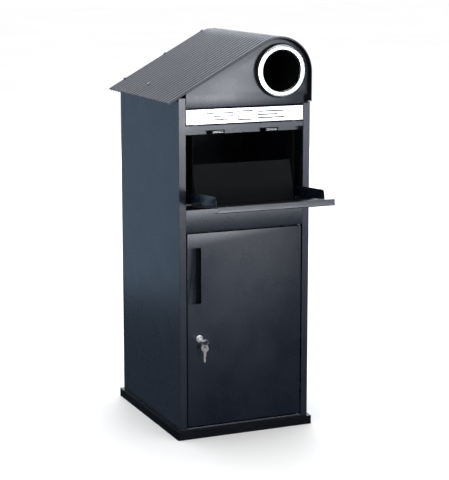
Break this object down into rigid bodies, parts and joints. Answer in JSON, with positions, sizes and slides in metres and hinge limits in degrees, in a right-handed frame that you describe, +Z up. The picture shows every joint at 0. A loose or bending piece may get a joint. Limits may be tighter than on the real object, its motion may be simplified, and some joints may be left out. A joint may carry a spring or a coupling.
{
  "type": "parcel drop box",
  "caption": "Free-standing steel parcel drop box with corrugated roof, newspaper tube, letter flap, tilting parcel hopper, locked collection door and plinth",
  "frame": {"origin": "centre of the plinth's underside, on the floor", "axes": "+X to the right as seen from the front, +Y to the back (the door, flap, hopper and tube face -Y), +Z up"},
  "size_m": [0.447, 0.6984, 1.1346],
  "materials": {
    "body_paint": "dark blue-grey fine-textured powder coat, satin",
    "roof_paint": "grey powder coat, satin, dusty",
    "plinth_paint": "near-black powder coat, satin",
    "inner_paint": "dark powder coat, unlit inner pieces",
    "polished_steel": "polished stainless steel",
    "chrome": "bright nickel plate",
    "zinc_steel": "zinc-plated steel",
    "gasket_rubber": "matt black rubber"
  },
  "bodies": {
    "cabinet": {"plinth": "plinth_paint", "floor_panel": "inner_paint", "left_side_panel": "body_paint", "right_side_panel": "body_paint", "back_panel": "body_paint", "left_front_post": "body_paint", "right_front_post": "body_paint", "bottom_rail": "body_paint", "middle_rail": "body_paint", "head_rail": "body_paint", "left_magnetic_catch": "inner_paint", "right_magnetic_catch": "inner_paint", "gable_panel": "body_paint", "roof_sheet": "roof_paint", "roof_screw_1": "zinc_steel", "roof_screw_2": "zinc_steel", "roof_screw_3": "zinc_steel", "roof_screw_4": "zinc_steel", "roof_screw_5": "zinc_steel", "roof_screw_6": "zinc_steel", "roof_screw_7": "zinc_steel", "post_screw": "zinc_steel", "newspaper_tube": "inner_paint", "bezel_gasket": "gasket_rubber", "bezel_ring": "polished_steel", "letter_chute": "inner_paint", "left_hopper_guard": "inner_paint", "right_hopper_guard": "inner_paint", "left_hopper_pin": "zinc_steel", "right_hopper_pin": "zinc_steel", "left_flap_pin": "zinc_steel", "right_flap_pin": "zinc_steel", "door_pin_top": "zinc_steel", "door_pin_bottom": "zinc_steel"},
    "hopper": {"hopper_tray": "body_paint", "left_hopper_cheek": "body_paint", "right_hopper_cheek": "body_paint", "hopper_back_plate": "inner_paint"},
    "letter_flap": {"letter_flap": "polished_steel"},
    "door": {"door_panel": "body_paint", "door_stiffener": "inner_paint", "handle_cup": "body_paint", "lock_barrel": "chrome", "lock_nut": "zinc_steel"},
    "lock_plug": {"lock_plug": "chrome", "lock_cam": "zinc_steel", "cam_screw": "zinc_steel", "lock_key": "chrome"},
    "key_ring": {"key_ring": "chrome", "spare_key": "chrome"}
  },
  "joints": [
    {"name": "hopper_hinge", "type": "hinge", "parent": "cabinet", "child": "hopper", "pos_m": [0, -0.232, 0.6745], "axis": [-1, 0, 0], "range_deg": [0, 81.5]},
    {"name": "letter_flap_hinge", "type": "hinge", "parent": "cabinet", "child": "letter_flap", "pos_m": [0, -0.2315, 0.9355], "axis": [-1, 0, 0], "range_deg": [0, 80]},
    {"name": "door_hinge", "type": "hinge", "parent": "cabinet", "child": "door", "pos_m": [0.171, -0.2315, 0.314], "axis": [0, 0, 1], "range_deg": [0, 110]},
    {"name": "lock_turn", "type": "hinge", "parent": "door", "child": "lock_plug", "pos_m": [-0.141, -0.2375, 0.291], "axis": [0, 1, 0], "range_deg": [0, 90]},
    {"name": "key_ring_swing", "type": "hinge", "parent": "door", "child": "key_ring", "pos_m": [-0.141, -0.263, 0.291], "axis": [1, 0, 0], "range_deg": [-30, 18]}
  ]
}
